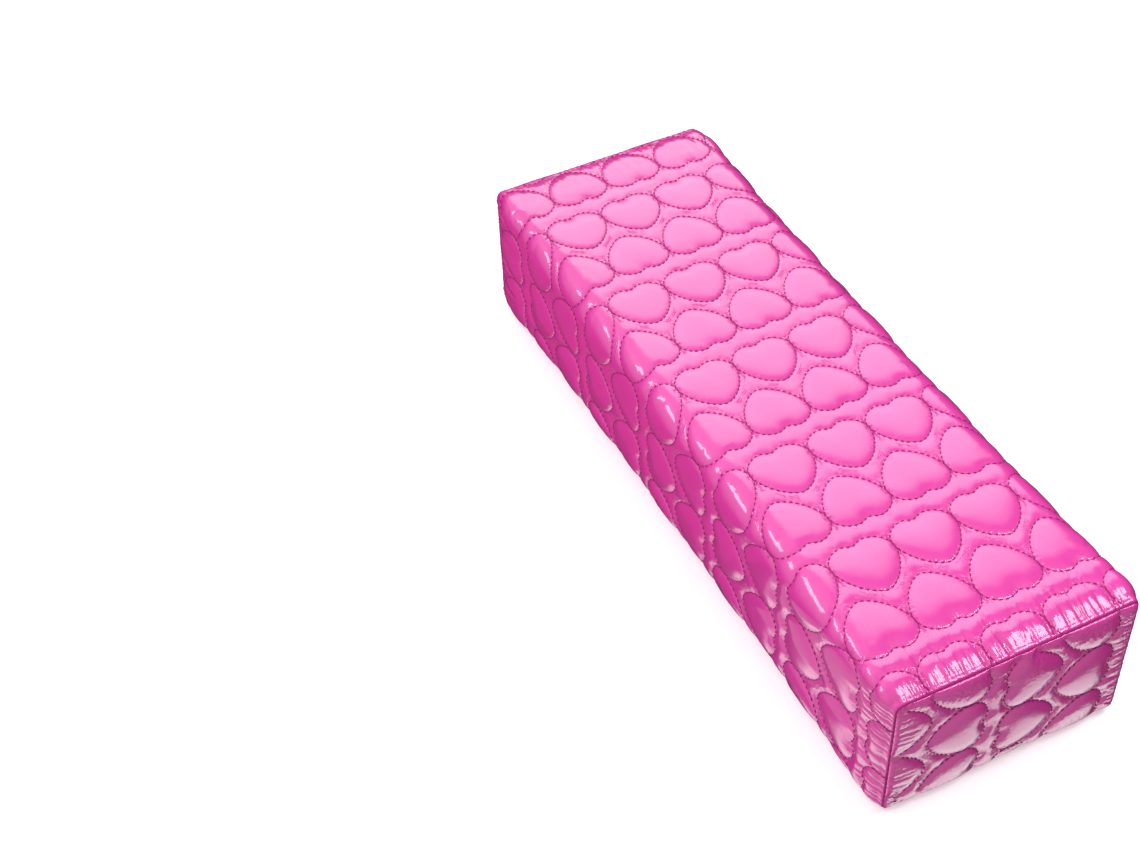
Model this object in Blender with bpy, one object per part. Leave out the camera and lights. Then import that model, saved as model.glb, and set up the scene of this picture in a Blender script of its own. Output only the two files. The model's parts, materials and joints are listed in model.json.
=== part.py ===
"""A manicure hand rest: a long foam cushion in heart-quilted patent leather cloth.

One quilted panel wraps round the four long faces and is closed along the lower rear edge. A
quilted end panel is sewn into each end of that sleeve. Every end seam is turned, so both panels
roll into it and their raw edges lie together inside, on the diagonal of the corner. Lengths are
in metres. X runs along the cushion, Z is up, and the origin is under the middle of the cushion.
"""
import math

import bmesh
import bpy
from mathutils import Matrix, Vector
from mathutils.geometry import delaunay_2d_cdt

# Cushion, measured between its seams
LENGTH = 0.300            # end seam to end seam
WIDTH = 0.094             # across an end panel
HEIGHT = 0.055            # up an end panel
SEAM_CORNER = 0.005       # corner radius of an end seam
SIDE_SWELL = 0.0008       # how far the stuffed long sides stand out at mid length
EDGE_RADIUS = 0.011       # long edges at mid length
SWELL_RUN = 0.060         # length over which an end's section grows into the middle one
END_DOME = 0.0010         # how far an end panel domes outward

# Quilted cloth
CLOTH = 0.0012            # thickness where it is stitched down
PUFF = 0.0024             # rise of a heart above its stitches
CHANNEL_PUFF = 0.0009     # rise of the cloth between the chains of hearts
SIT = 0.0009              # stitch level above the floor, under the flattened hearts
HEART_WIDTH = 0.025       # hearts of a chain touch, so this is their pitch too
TIP_REACH = 0.015         # from the line through the touching points to the tip
LOBE_REACH = 0.0085       # from that line to the lobes
NOTCH_DEPTH = 0.0018
NOTCH_WIDTH = 0.003
TIP_POWER = 1.6           # superellipse powers of the two ends of a heart
LOBE_POWER = 2.4
LOBE_GAP = 0.005          # between chains whose lobes face each other
PAIR_PITCH = 0.0514       # from one chain to the next that points the same way
WRAP_TURN = math.radians(1.6)     # the wrap is cut a little off the line of its chains
WRAP_ANCHOR = (0.1235, 0.0015)    # a touching point: along the cushion, across its top
END_ANCHOR = (-0.019, -0.0135)    # a touching point: across the end, down from its top seam

# End seams
ROLL_PROUD = 0.0012       # stitch level of both panels above an end seam
ROLL_RADIUS = 0.00175     # each panel rolls into the seam
ROLL_BACK = 0.0016        # middle of that roll, back from the seam
ROLL_OUT = 0.0009         # and out from it
ROLL_BAND = 0.004         # unquilted band beside a seam
ROLL_RISE = 0.0010        # rise of that band above the stitch level
GATHER = 0.0004           # height of the gathers along a seam
ALLOWANCE = 0.004         # reach of the raw edges inward, measured square to each panel
SEAM_GAP = 0.0003         # between two pieces that touch
THREAD_RADIUS = 0.0003
GROOVE = 0.0009           # depth of the closing seam below the stitch level

# Foam
FOAM_CLEARANCE = 0.0003
FOAM_END_CHAMFER = 0.0083  # room for the turned raw edges

# Fineness of the meshes
WRAP_SAMPLES = 104        # round an end of the wrap, two to a gather
END_SAMPLES = 76          # round an end panel
SEAM_SAMPLES = 48         # along the closing seam
OUTLINE_POINTS = 16       # round a heart
CROWN_POINTS = 8          # round the top of a heart
CROWN_SHARE = 0.72        # size of that top, as a share of the heart
CROWN_RISE = 0.82         # its height, as a share of the puff
SNAP = 0.0016             # a stitch this near to a seam runs into it
SHARP_ANGLE = math.radians(40)

ROUNDING = 4 - math.pi    # what one rounded corner takes off half the girth of a square one


def clear_scene():
    for obj in list(bpy.data.objects):
        bpy.data.objects.remove(obj, do_unlink=True)


def end_section():
    """Half width, half height and corner radius of the wrap's stitch level at an end seam."""
    return WIDTH / 2 + ROLL_PROUD, HEIGHT / 2 + ROLL_PROUD, SEAM_CORNER + ROLL_PROUD


def girth():
    half_width, half_height, radius = end_section()
    return 4 * (half_width + half_height) - 2 * ROUNDING * radius


def section(x):
    """The same at any station: the cloth keeps its girth, so rounder edges make it taller."""
    half_width, _, radius = end_section()
    share = min(max((LENGTH / 2 - abs(x)) / SWELL_RUN, 0.0), 1.0)
    swell = share * share * (3 - 2 * share)
    half_width += SIDE_SWELL * swell
    radius += (EDGE_RADIUS - radius) * swell
    return half_width, girth() / 4 - half_width + ROUNDING / 2 * radius, radius


def middle_height():
    return SIT + section(0.0)[1]


def round_box_point(half_width, half_height, radius, s):
    """Point and outward normal on a rounded box outline, s round it from the middle of its top."""
    s = (s + girth() / 2) % girth() - girth() / 2
    sign = 1 if s >= 0 else -1
    run = abs(s)
    top, side = half_width - radius, 2 * (half_height - radius)
    arc = math.pi / 2 * radius
    if run <= top:
        y, z, ny, nz = run, half_height, 0.0, 1.0
    elif run <= top + arc:
        turn = (run - top) / radius
        ny, nz = math.sin(turn), math.cos(turn)
        y, z = top + radius * ny, half_height - radius + radius * nz
    elif run <= top + arc + side:
        y, z, ny, nz = half_width, half_height - radius - (run - top - arc), 1.0, 0.0
    elif run <= top + 2 * arc + side:
        turn = (run - top - arc - side) / radius
        ny, nz = math.cos(turn), -math.sin(turn)
        y, z = top + radius * ny, -half_height + radius + radius * nz
    else:
        y, z, ny, nz = top - (run - top - 2 * arc - side), -half_height, 0.0, -1.0
    return sign * y, z, sign * ny, nz


def closing_seam():
    """Girth position of the closing seam, at the middle of the lower rear edge."""
    half_width, half_height, radius = end_section()
    return half_width - radius + 2 * (half_height - radius) + math.pi * radius * 0.75


def on_wrap(x, s, lift, flat=True):
    """Point of the wrap lifted off its stitch level; what reaches the floor is flattened there."""
    y, z, ny, nz = round_box_point(*section(x), s)
    height = middle_height() + z + nz * lift
    return Vector((x, y + ny * lift, max(height, 0.0) if flat else height))


def heart_point(angle, scale=1.0):
    """Outline of a heart from its notch round: across the chain's line, and towards the lobes."""
    across, along = math.sin(angle), math.cos(angle)
    power, reach = (LOBE_POWER, LOBE_REACH) if along > 0 else (TIP_POWER, TIP_REACH)
    u = math.copysign(abs(across) ** (2 / power), across) * HEART_WIDTH / 2
    v = math.copysign(abs(along) ** (2 / power), along) * reach
    if along > 0:
        v -= NOTCH_DEPTH * math.exp(-(u / NOTCH_WIDTH) ** 2)
    middle = (LOBE_REACH - TIP_REACH) / 2
    return u * scale, middle + (v - middle) * scale


def hearts_over(anchor, turn, half_x, half_y, centre):
    """Each heart over a cloth: a function from its own outline frame to the cloth's."""
    reach = math.hypot(half_x, half_y) + PAIR_PITCH
    cos, sin = math.cos(turn), math.sin(turn)
    chains = math.ceil(2 * reach / PAIR_PITCH)
    steps = math.ceil(2 * reach / HEART_WIDTH)
    for chain in range(-chains, chains + 1):
        for points_forward in (False, True):
            x = chain * PAIR_PITCH + (2 * LOBE_REACH + LOBE_GAP if points_forward else 0.0)
            way = -1 if points_forward else 1
            for step in range(-steps, steps + 1):
                y = (step + (0.0 if points_forward else 0.5)) * HEART_WIDTH

                def place(u, v, x=x, y=y, way=way):
                    dx, dy = x + way * v, y + u
                    return (anchor[0] + dx * cos - dy * sin, anchor[1] + dx * sin + dy * cos)

                px, py = place(0.0, 0.0)
                if abs(px - centre[0]) < half_x + TIP_REACH and abs(py - centre[1]) < half_y + HEART_WIDTH:
                    yield place


class Sheet:
    """A flat cloth inside a border, with its stitches as edges and a level for each point."""

    def __init__(self, border, levels, half_x, half_y, centre):
        self.points = [tuple(point) for point in border]
        self.levels = list(levels)
        self.edges = [(i, (i + 1) % len(border)) for i in range(len(border))]
        self.border = len(border)
        self.half = (half_x, half_y)
        self.centre = centre
        self.known = {}

    def inside(self, point):
        """How far a point lies inside the border, negative outside it."""
        return min(self.half[0] - abs(point[0] - self.centre[0]), self.half[1] - abs(point[1] - self.centre[1]))

    def add(self, point, level):
        key = (round(point[0], 6), round(point[1], 6))
        if key not in self.known:
            self.known[key] = len(self.points)
            self.points.append(point)
            self.levels.append(level)
        return self.known[key]

    def stitch(self, point):
        """A stitch's point, or the nearest one of the border where it runs into a seam."""
        if self.inside(point) > SNAP:
            return self.add(point, 0.0)
        near = [(px - point[0]) ** 2 + (py - point[1]) ** 2 for px, py in self.points[:self.border]]
        return near.index(min(near))

    def crown(self, point, level):
        if self.inside(point) > SNAP:
            self.add(point, level)

    def quilt(self, place):
        outline = [place(*heart_point(math.tau * i / OUTLINE_POINTS)) for i in range(OUTLINE_POINTS)]
        if max(self.inside(point) for point in outline) < SNAP:
            return
        ids = [self.stitch(point) for point in outline]
        for one, two in zip(ids, ids[1:] + ids[:1]):
            if one != two and max(one, two) >= self.border:
                self.edges.append((one, two))
        for i in range(CROWN_POINTS):
            self.crown(place(*heart_point(math.tau * i / CROWN_POINTS, CROWN_SHARE)), CROWN_RISE * PUFF)
        self.crown(place(*heart_point(0.0, 0.0)), PUFF)
        for reach in (LOBE_REACH * 0.85, -TIP_REACH * 0.5):
            self.crown(place(HEART_WIDTH / 2, reach), CHANNEL_PUFF)

    def triangles(self):
        """Points, triangles and levels of the cloth, its stitches among the triangles' edges."""
        out = delaunay_2d_cdt([Vector(point) for point in self.points], self.edges, [], 1, 1e-7)
        levels = [self.levels[ids[0]] if ids else 0.0 for ids in out[3]]
        return out[0], out[2], levels


def rolled_profile():
    """Panel edge from its band to the seam, as back from the seam and out from it."""
    steps = (math.radians(95), math.radians(50), math.radians(10))
    roll = [(ROLL_BACK - ROLL_RADIUS * math.cos(t), ROLL_OUT + ROLL_RADIUS * math.sin(t)) for t in steps]
    gap = SEAM_GAP / 2 / math.sqrt(2)
    cloth = CLOTH / math.sqrt(2)
    mouth = (gap, gap)
    tip = (gap + ALLOWANCE, gap - ALLOWANCE)
    back = (tip[0] + cloth, tip[1] + cloth)
    inner = gap + cloth
    heel = (2 * inner, 0.0)
    return roll + [mouth, tip, back, heel]


def mesh_object(name, bm, material, collection, parent):
    bmesh.ops.recalc_face_normals(bm, faces=bm.faces)
    mesh = bpy.data.meshes.new(name)
    bm.to_mesh(mesh)
    bm.free()
    mesh.shade_smooth()
    mesh.set_sharp_from_angle(angle=SHARP_ANGLE)
    return link_object(name, mesh, material, collection, parent)


def link_object(name, data, material, collection, parent):
    obj = bpy.data.objects.new(name, data)
    if not data.materials:
        data.materials.append(material)
    collection.objects.link(obj)
    obj.parent = parent
    return obj


def bridge(bm, one, two):
    """Closed band of faces between two rings of as many points."""
    for i in range(len(one)):
        j = (i + 1) % len(one)
        bm.faces.new((one[i], one[j], two[j], two[i]))


def make_wrap(material, collection, parent):
    """The quilted sleeve, its outer face from the cloth's triangles and its ends rolled in."""
    reach = LENGTH / 2 - ROLL_BAND
    seam = closing_seam()
    around = [seam - girth() + girth() * i / WRAP_SAMPLES for i in range(WRAP_SAMPLES + 1)]
    along = [-reach + 2 * reach * i / SEAM_SAMPLES for i in range(SEAM_SAMPLES + 1)]
    gathers = [ROLL_RISE + (GATHER if i % 2 else -GATHER) for i in range(WRAP_SAMPLES + 1)]
    gathers[0] = gathers[-1] = -GROOVE
    border = [(-reach, s) for s in around] + [(x, around[-1]) for x in along[1:-1]]
    border += [(reach, s) for s in reversed(around)] + [(x, around[0]) for x in reversed(along[1:-1])]
    closing = [-GROOVE] * (SEAM_SAMPLES - 1)
    middle = (0.0, (around[0] + around[-1]) / 2)
    sheet = Sheet(border, gathers + closing + gathers[::-1] + closing, reach, girth() / 2, middle)
    for place in hearts_over(WRAP_ANCHOR, WRAP_TURN, reach, girth() / 2, middle):
        sheet.quilt(place)
    points, faces, levels = sheet.triangles()
    bm = bmesh.new()
    verts = [bm.verts.new(on_wrap(point[0], point[1], level)) for point, level in zip(points, levels)]
    for face in faces:
        bm.faces.new([verts[i] for i in face])
    bmesh.ops.remove_doubles(bm, verts=bm.verts, dist=1e-6)

    heels = []
    for end in (-1, 1):
        rings = [[on_wrap(end * reach, s, lift) for s, lift in zip(around[:-1], gathers)]]
        for step, (back, out) in enumerate(rolled_profile()):
            wave = GATHER if step < 2 else 0.0
            rings.append([
                on_wrap(end * (LENGTH / 2), s, out - ROLL_PROUD + (wave if i % 2 else -wave), flat=False)
                + Vector((-end * back, 0.0, 0.0))
                for i, s in enumerate(around[:-1])
            ])
        made = [[bm.verts.new(point) for point in ring] for ring in rings]
        for one, two in zip(made, made[1:]):
            bridge(bm, one, two)
        heels.append(made[-1])
    bridge(bm, heels[0], heels[1])
    bmesh.ops.remove_doubles(bm, verts=bm.verts, dist=1e-6)
    return mesh_object("wrap_panel", bm, material, collection, parent)


def make_end_panel(material, collection, parent):
    """The panel of the near end, in the end's own frame: quilted outside, flat inside."""
    around = [girth() * (i / END_SAMPLES - 0.5) for i in range(END_SAMPLES)]
    wide, tall, radius = end_section()

    def rim(out, s):
        y, z, ny, nz = round_box_point(wide, tall, radius, s)
        return y + ny * (out - ROLL_PROUD), z + nz * (out - ROLL_PROUD)

    def bulge(y, z):
        return END_DOME * (1 - (2 * y / WIDTH) ** 2) * (1 - (2 * z / HEIGHT) ** 2)

    border = [rim(-ROLL_BAND, s) for s in around]
    half = (WIDTH / 2 - ROLL_BAND, HEIGHT / 2 - ROLL_BAND)
    sheet = Sheet(border, [ROLL_RISE] * END_SAMPLES, *half, (0.0, 0.0))
    anchor = (END_ANCHOR[0], HEIGHT / 2 + END_ANCHOR[1])
    for place in hearts_over(anchor, 0.0, *half, (0.0, 0.0)):
        sheet.quilt(place)
    points, faces, levels = sheet.triangles()
    bm = bmesh.new()
    lift = middle_height()

    def vert(x, y, z):
        return bm.verts.new((LENGTH / 2 + x, y, lift + z))

    verts = [vert(ROLL_PROUD + bulge(*point) + level, *point) for point, level in zip(points, levels)]
    for face in faces:
        bm.faces.new([verts[i] for i in face])
    rings = [[vert(ROLL_PROUD + bulge(y, z) + ROLL_RISE, y, z) for y, z in border]]
    for step, (back, out) in enumerate(rolled_profile()):
        rings.append([vert(out, *rim(-back, s)) for s in around])
    for one, two in zip(rings, rings[1:]):
        bridge(bm, one, two)
    bm.faces.new(rings[-1])
    bmesh.ops.remove_doubles(bm, verts=bm.verts, dist=1e-6)
    return mesh_object("end_panel_near", bm, material, collection, parent)


def make_foam(material, collection, parent):
    """The block inside: rounded like the sleeve's lining, with its ends cut back for the edges."""
    slack = CLOTH + FOAM_CLEARANCE
    half_width, half_height, radius = end_section()
    bm = bmesh.new()
    bmesh.ops.create_cube(bm, size=2.0)
    size = (LENGTH / 2 - FOAM_CLEARANCE - FOAM_END_CHAMFER, half_width - slack, half_height - slack)
    bmesh.ops.scale(bm, verts=bm.verts, vec=size)
    long_edges = [e for e in bm.edges if abs(e.verts[0].co.x - e.verts[1].co.x) > LENGTH / 2]
    bmesh.ops.bevel(bm, geom=long_edges, offset=radius - slack, segments=5, profile=0.5, affect="EDGES")
    for face in [f for f in bm.faces if abs(f.normal.x) > 0.9]:
        way = math.copysign(FOAM_END_CHAMFER, face.normal.x)
        cap = bmesh.ops.extrude_discrete_faces(bm, faces=[face])["faces"][0]
        bmesh.ops.translate(bm, verts=cap.verts, vec=(way, 0.0, 0.0))
        shrink = (1.0, 1 - FOAM_END_CHAMFER / size[1], 1 - FOAM_END_CHAMFER / size[2])
        bmesh.ops.scale(bm, verts=cap.verts, vec=shrink)
    bmesh.ops.translate(bm, verts=bm.verts, vec=(0.0, 0.0, middle_height()))
    return mesh_object("foam_core", bm, material, collection, parent)


def make_thread(name, points, closed, material, collection, parent):
    curve = bpy.data.curves.new(name, "CURVE")
    curve.dimensions = "3D"
    curve.bevel_depth = THREAD_RADIUS
    curve.bevel_resolution = 1
    curve.use_fill_caps = not closed
    spline = curve.splines.new("POLY")
    spline.points.add(len(points) - 1)
    for point, co in zip(spline.points, points):
        point.co = (*co, 1.0)
    spline.use_cyclic_u = closed
    return link_object(name, curve, material, collection, parent)


def end_thread_points():
    """Path of an end seam's thread: in the groove, clear of both rolls."""
    out = ROLL_OUT + ROLL_RADIUS * math.sin(math.radians(10)) - SEAM_GAP - THREAD_RADIUS
    wide, tall, radius = (value - ROLL_PROUD + out for value in end_section())
    turns = 6
    points = []
    for corner in range(4):
        sy, sz = ((1, 1), (-1, 1), (-1, -1), (1, -1))[corner]
        for i in range(turns + 1):
            angle = math.pi / 2 * (corner + i / turns)
            y = sy * (wide - radius) + radius * math.cos(angle)
            z = sz * (tall - radius) + radius * math.sin(angle)
            points.append((LENGTH / 2 + out, y, middle_height() + z))
    return points


def make_material(name, colour, roughness, coat=0.0):
    material = bpy.data.materials.new(name)
    material.use_nodes = True
    shader = material.node_tree.nodes["Principled BSDF"]
    shader.inputs["Base Color"].default_value = (*colour, 1.0)
    shader.inputs["Roughness"].default_value = roughness
    shader.inputs["Metallic"].default_value = 0.0
    shader.inputs["Coat Weight"].default_value = coat
    return material


def main():
    clear_scene()
    collection = bpy.data.collections.new("hand_rest")
    bpy.context.scene.collection.children.link(collection)
    root = bpy.data.objects.new("hand_rest", None)
    collection.objects.link(root)

    cloth = make_material("patent_pink", (0.84, 0.15, 0.52), 0.22, coat=0.6)
    foam = make_material("foam_cream", (0.88, 0.83, 0.66), 0.95)
    thread = make_material("thread_plum", (0.33, 0.02, 0.14), 0.6)

    make_foam(foam, collection, root)
    make_wrap(cloth, collection, root)
    near = make_end_panel(cloth, collection, root)
    far = link_object("end_panel_far", near.data, cloth, collection, root)
    far.rotation_euler = (0.0, 0.0, math.pi)

    loop = make_thread("end_seam_thread_near", end_thread_points(), True, thread, collection, root)
    other = link_object("end_seam_thread_far", loop.data, thread, collection, root)
    other.rotation_euler = (0.0, 0.0, math.pi)
    reach = LENGTH / 2 - ROLL_BAND
    level = -GROOVE + SEAM_GAP + THREAD_RADIUS
    run = [on_wrap(-reach + 2 * reach * i / SEAM_SAMPLES, closing_seam(), level) for i in range(SEAM_SAMPLES + 1)]
    make_thread("closing_seam_thread", run, False, thread, collection, root)


main()
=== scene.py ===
"""Dresses the manicure hand rest: quilted patent leather cover, its stitches, its seams and its foam.

The cover is cut from a cloth quilted with chains of hearts. Each panel is triangulated flat, with
its vertices along the stitch lines, padded, and bent round the cushion or domed over its end.
Blender's Cloth then wrinkles all three panels between their stitches. Lengths are in metres.
"""

import json
import math
import random

import bmesh
import bpy
import numpy as np
from mathutils import Matrix, Vector, kdtree
from mathutils.geometry import delaunay_2d_cdt

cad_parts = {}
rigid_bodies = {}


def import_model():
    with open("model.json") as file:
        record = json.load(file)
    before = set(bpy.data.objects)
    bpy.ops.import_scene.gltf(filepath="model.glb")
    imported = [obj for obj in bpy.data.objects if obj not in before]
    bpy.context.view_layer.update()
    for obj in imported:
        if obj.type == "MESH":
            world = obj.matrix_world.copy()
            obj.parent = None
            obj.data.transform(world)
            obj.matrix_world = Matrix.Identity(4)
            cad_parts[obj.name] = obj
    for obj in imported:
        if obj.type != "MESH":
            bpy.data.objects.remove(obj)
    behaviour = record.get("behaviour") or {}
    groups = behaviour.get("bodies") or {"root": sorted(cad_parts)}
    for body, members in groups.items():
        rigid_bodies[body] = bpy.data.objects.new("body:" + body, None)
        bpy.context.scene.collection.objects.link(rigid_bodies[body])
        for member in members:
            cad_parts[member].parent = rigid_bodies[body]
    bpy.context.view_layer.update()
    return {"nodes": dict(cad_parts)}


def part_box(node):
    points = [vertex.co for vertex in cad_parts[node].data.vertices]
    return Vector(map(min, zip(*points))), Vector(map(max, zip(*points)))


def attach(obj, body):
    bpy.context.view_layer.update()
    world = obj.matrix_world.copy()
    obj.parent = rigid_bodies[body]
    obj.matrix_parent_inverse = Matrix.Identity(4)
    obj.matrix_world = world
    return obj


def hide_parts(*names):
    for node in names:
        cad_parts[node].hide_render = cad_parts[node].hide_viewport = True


for leftover in list(bpy.data.objects):
    bpy.data.objects.remove(leftover, do_unlink=True)

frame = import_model()

# Cushion
THREAD_RADIUS = 0.0003
THREAD_OUT = 0.0006       # the solid of a seam's thread lies this far out from it, both ways
SEAM_CORNER = 0.002       # corner radius of an end seam
PROUD = 0.0012            # stitch level above an end seam
SIDE_SWELL = 0.0008       # how far the long sides stand out at mid length
EDGE_RADIUS = 0.0095      # long edges at mid length
SWELL_RUN = 0.060         # length over which an end's section grows into the middle one
END_DOME = 0.0010         # how far an end panel domes outward
CLOTH = 0.0012            # thickness where it is stitched down
LOWEST = 0.0008           # the cloth is never lower than this under its stitch level

low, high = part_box("end_seam_thread_near")
HALF_LENGTH = (low.x + high.x) / 2 - THREAD_OUT
HALF_WIDTH = (high.y - low.y) / 2 - THREAD_RADIUS - THREAD_OUT
HALF_HEIGHT = (high.z - low.z) / 2 - THREAD_RADIUS - THREAD_OUT
MIDDLE_Z = (high.z + low.z) / 2

# Half width, half height and corner radius of the stitch level at an end seam, and what follows
END_SECTION = (HALF_WIDTH + PROUD, HALF_HEIGHT + PROUD, SEAM_CORNER + PROUD)
ROUNDING = 4 - math.pi    # half the girth has two corners, which take this many radii off it
GIRTH = 4 * (END_SECTION[0] + END_SECTION[1]) - 2 * ROUNDING * END_SECTION[2]
CLOSING_SEAM = END_SECTION[0] - END_SECTION[2] + 2 * (END_SECTION[1] - END_SECTION[2])
CLOSING_SEAM += math.pi * END_SECTION[2] * 0.75    # halfway round the lower edge at the back

# Quilting
HEART_WIDTH = 0.025       # hearts of a chain touch, so this is their pitch too
TIP_REACH = 0.015         # from the line through the touching points to the tip
LOBE_REACH = 0.0085       # from that line to the lobes
NOTCH_DEPTH = 0.0018
NOTCH_WIDTH = 0.003
TIP_POWER = 1.6           # superellipse powers of the two ends of a heart
LOBE_POWER = 2.4
LOBE_GAP = 0.005          # between chains whose lobes face each other
PAIR_PITCH = 0.0514       # from one chain to the next that points the same way
WRAP_TURN = math.radians(1.6)     # the wrap is cut a little off the line of its chains
WRAP_ANCHOR = (0.1235, 0.0015)    # a touching point: along the cushion, across its top
END_ANCHOR = (-0.019, -0.0135)    # a touching point: across the end, down from its top seam
PANEL_CORNER = 0.004      # the quilting on an end keeps inside corners this round
PUFF = 0.0013             # loft of the padding in a heart, which the stretched cloth only nears
PUFF_RANGE = (0.9, 1.1)   # from heart to heart
CHANNEL = 0.0010          # loft between the chains
LEVEL_LOFT = 0.58         # share of both on the level faces, where the cloth is tightest
STRETCH = 0.0023          # distance from a stitch line over which the cloth is held down
SOLVER_STEPS = 400
SOLVED = 1e-22            # what is left over when the heights are right
STIFFEST = 6.0            # a triangle's corner pulls its far side no harder than this
SLACKEST = -2.0

# End seams: the cloth rolls into them on a cubic curve; its last points are past the seam and out
ROLL_BACK = 0.0016        # the roll starts this far back from the seam
ROLL_ARC = 0.0034         # cloth taken by the roll
ROLL_BULGE = 0.0003       # past the seam, and still at the cloth's full height
ROLL_SHOULDER = (0.00085, 0.00105)
ROLL_FOOT = (-0.00005, -0.00035)
TURNED_IN = 0.0012        # reach of the turned edges inside
BAND_RISE = 0.0021        # the cloth bulges beside a seam
BAND_RUN = 0.0072         # over this length it rises
BAND_FADE = 0.040         # and over this one the rise fades
END_BAND_SHARE = 0.25     # share of the bulge in an end panel
PLEAT_PITCH = 0.0015
PLEAT_DEPTH = (0.0001, 0.0005)
PLEAT_WIDTH = (0.0003, 0.0006)
PLEAT_LENGTH = (0.006, 0.014)
PLEAT_SLANT = 0.12
PLEAT_END = 3             # a pleat is gone at this many of its lengths
WRAP_PLEATS = (1.0, 1.35) # their share on the level and the upright sides of the wrap
END_PLEATS = (0.25, 0.9)  # and in an end panel

# Sewing
STITCH_PITCH = 0.00225
STITCH_LENGTH = 0.00175
STITCH_RADIUS = 0.0002
STITCH_SINK = 0.00018     # its ends go this far into the cloth
STITCH_ARCH = 0.00024     # and its middle stands this far out
LAST_STITCH = 0.6         # the quilting goes on over this share of the roll
CLEAR_RISE = 0.001        # a stitch's up direction is measured over this height
SEAM_LINE = 0.0005        # a seam's thread lies this far out and past the seam
SEAM_STITCH = 0.0026
SEAM_TIGHTNESS = 0.25     # share by which the thread swells between its stitches
GROOVE = 0.0009           # depth of the closing seam
GROOVE_WIDTH = 0.0009

# Cloth simulation
CLOTH_SCALE = 10.0        # Cloth works best on things of a few metres
CLOTH_FRAMES = 4
CLOTH_QUALITY = 5
CLOTH_SLACK = 0.005       # share by which the cloth is too large for its place
CLOTH_PRESSURE = 1.2
CLOTH_STIFFNESS = 15.0
CLOTH_BENDING = 0.5
HELD_AT_SEAM = 0.0045     # the cloth doesn't move nearer than this to the end of its roll
WRINKLES_LEFT = 0.5       # share of the cloth's own movement kept far from the end seams
WRINKLE_RUN = 0.035       # length over which that share is reached

# Fineness of the meshes
FINE_OUTLINE = 4001       # points that a heart's outline is measured on
NEAR_OUTLINE = 264        # points that distances to it are measured on
STITCH_OUTLINE = 1200     # points that stitches are placed on
OUTLINE_POINTS = 52
INNER_RINGS = ((0.00035, 1), (0.0008, 1), (0.0015, 1), (0.0026, 2), (0.0042, 2), (0.0062, 3))
OUTER_RINGS = ((0.00035, 1), (0.0008, 1), (0.0015, 1))
CORE_EVERY = 6            # the ring round a heart's middle: every sixth point of its outline
CORE_SHARE = 0.25         # drawn in to this share of its size
CHANNEL_GRID = 0.0016
BORDER_STEP = 0.0005
END_BORDER_SHARE = 1.2    # an end panel's border is coarser by this
PLEAT_GRID = (0.0011, 0.0005)
PLEAT_ZONE = 0.016
LINING_RINGS = 7
ROLL_STEPS = 8
RIM_POINTS = 900
STITCH_SIDES = 6
SEAM_POINTS = 900
SEAM_SIDES = 8
CLOSEST = 0.00022         # of two points in one square of this size the second is left out
BORDER_CLEARANCE = CLOSEST * 1.5
HELD = 0.00017            # points nearer than this to a stitch line are on it
WELD = 1e-6
THREAD_WELD = 1e-9
SEED = 7

# Leather: lengths over which it shows its seams and stitches, and its bumps as depth and strength
SEAM_REACH = 0.016
PULL_REACH = 0.0020
CREASE_REACH = 0.0005
CREASE_SHADE = 0.55       # painted shade: how far the colour goes to the shade colour in a stitch line's crease
PLEAT_SHADE = 0.45        # and painted shade in a pleat's crease
WAVES = (0.0010, 0.15)
GATHERS = (0.0006, 0.35)
PULLS = (0.0006, 0.6)
GRAIN = (0.00004, 0.25)
PINKS = ((0.70, 0.037, 0.330, 1), (0.76, 0.048, 0.375, 1))
# Colour of the shade painted into stitch-line creases and pleats
PAINTED_SHADE_PINK = (0.40, 0.012, 0.170, 1)

# Camera, where the photograph was taken from
CAMERA_AT = (0.4340, -0.2852, 0.5464)
CAMERA_RIGHT = (0.4444, 0.8952, -0.0338)
CAMERA_UP = (-0.6218, 0.3354, 0.7077)
PHOTO_WIDTH = 1140        # pixels
FOCAL = 1887              # in the same pixels
SENSOR = 36

# Light
HORIZON_LIGHT = 0.03      # radiance of the world at the horizon and below
WORLD_LIGHT = 0.25        # and overhead
WORLD_RISE = 0.45         # from this height of the unit sphere up
GLOWS = (
    # direction, cosine where the glow starts, cosine where it is full, radiance
    ((-0.70, 0.36, 0.61), 0.89, 0.985, 3.1),
    ((-0.64, -0.20, 0.74), 0.85, 1.0, 1.2),
    ((0.15, 0.0, 1.0), 0.78, 1.0, 0.9),
    ((-0.2, -0.9, 0.38), 0.6, 1.0, 1.1),
    ((0.35, -0.85, -0.40), 0.65, 1.0, 0.6),
    ((0.93, -0.15, -0.33), 0.6, 1.0, 0.7),
    ((0.30, 0.34, -0.89), 0.957, 0.986, 1.9),
    ((-0.22, -0.33, -0.92), 0.950, 0.976, 1.5),
)
SOFTBOXES = (
    # name, place, aim, size, radiance, colour
    ("near_box", (0.22, 0.27, 0.60), (0.147, 0.0, 0.063), (0.20, 0.24), 10.0, (1, 1, 1)),
    ("left_box", (-0.67, -0.94, 0.81), (0.0, 0.0, 0.03), (0.45, 0.26), 8.0, (1, 1, 1)),
    ("pink_card", (-0.10, -0.135, 0.001), (-0.10, -0.135, 1.0), (0.26, 0.15), 0.3, (1, 0.08, 0.4)),
    ("white_card", (0.115, -0.105, 0.001), (0.115, -0.105, 1.0), (0.13, 0.08), 0.4, (1, 1, 1)),
)
FLOOR_GLOW = 0.4
FLOOR_REACH = 4.0


def section(x):
    """END_SECTION's values at any x; the cloth keeps its girth, so round edges make it taller."""
    wide, _, radius = END_SECTION
    share = np.clip((HALF_LENGTH - np.abs(x)) / SWELL_RUN, 0.0, 1.0)
    swell = share * share * (3 - 2 * share)
    wide = wide + SIDE_SWELL * swell
    radius = radius + (EDGE_RADIUS - radius) * swell
    return wide, GIRTH / 4 - wide + ROUNDING / 2 * radius, radius


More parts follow.
